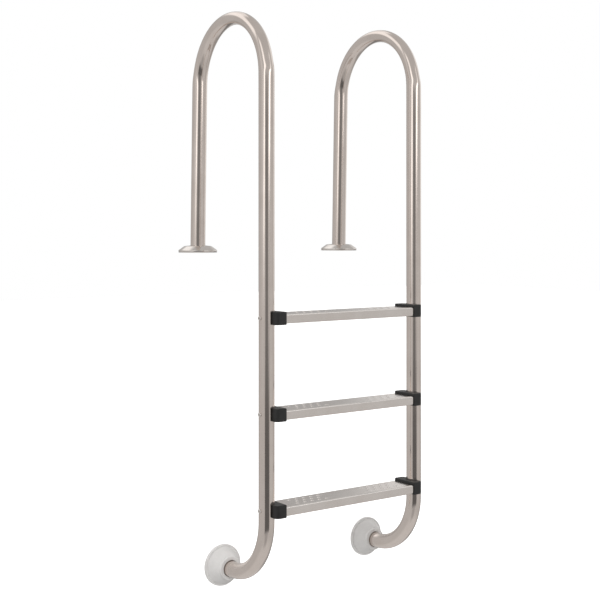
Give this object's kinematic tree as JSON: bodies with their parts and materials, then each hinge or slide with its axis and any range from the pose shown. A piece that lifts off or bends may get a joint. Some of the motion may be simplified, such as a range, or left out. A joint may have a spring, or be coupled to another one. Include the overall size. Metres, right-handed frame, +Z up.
{
  "type": "pool ladder",
  "caption": "Wall-leaning pool ladder: two bent steel tube handrails with deck flanges and sliding covers, dotted channel treads in plastic end caps, and rubber wall bumpers.",
  "frame": {"origin": "on the deck surface, midway between the centres of the two deck flanges", "axes": "+X along the treads, with the left rail at -X as seen from the water; +Y away from the water, square to the pool wall; +Z up"},
  "size_m": [0.632, 0.4589, 1.6045],
  "materials": {
    "rail_steel": "satin polished stainless tube, fine grain along the tube",
    "flange_steel": "plain stainless plate with a weld bead",
    "cover_steel": "polished spun stainless sheet",
    "tread_steel": "brushed stainless sheet, grain along the tread, with raised dots",
    "fastener_steel": "bright stainless fasteners",
    "cap_plastic": "black moulded plastic, lightly textured",
    "bumper_rubber": "off-white matte rubber"
  },
  "bodies": {
    "ladder": {"left_rail": "rail_steel", "left_deck_flange": "flange_steel", "left_wall_bumper": "bumper_rubber", "right_rail": "rail_steel", "right_deck_flange": "flange_steel", "right_wall_bumper": "bumper_rubber", "top_tread": "tread_steel", "top_left_end_cap": "cap_plastic", "top_right_end_cap": "cap_plastic", "middle_tread": "tread_steel", "middle_left_end_cap": "cap_plastic", "middle_right_end_cap": "cap_plastic", "bottom_tread": "tread_steel", "bottom_left_end_cap": "cap_plastic", "bottom_right_end_cap": "cap_plastic", "tread_bolts": "fastener_steel", "tread_washers": "fastener_steel", "tread_nuts": "fastener_steel"},
    "left_cover": {"left_flange_cover": "cover_steel"},
    "right_cover": {"right_flange_cover": "cover_steel"}
  },
  "joints": [
    {"name": "left_cover_slide", "type": "slide", "parent": "ladder", "child": "left_cover", "axis": [0, -0.0236, 0.9997], "range_m": [0, 0.45]},
    {"name": "right_cover_slide", "type": "slide", "parent": "ladder", "child": "right_cover", "axis": [0, -0.0236, 0.9997], "range_m": [0, 0.45]}
  ]
}
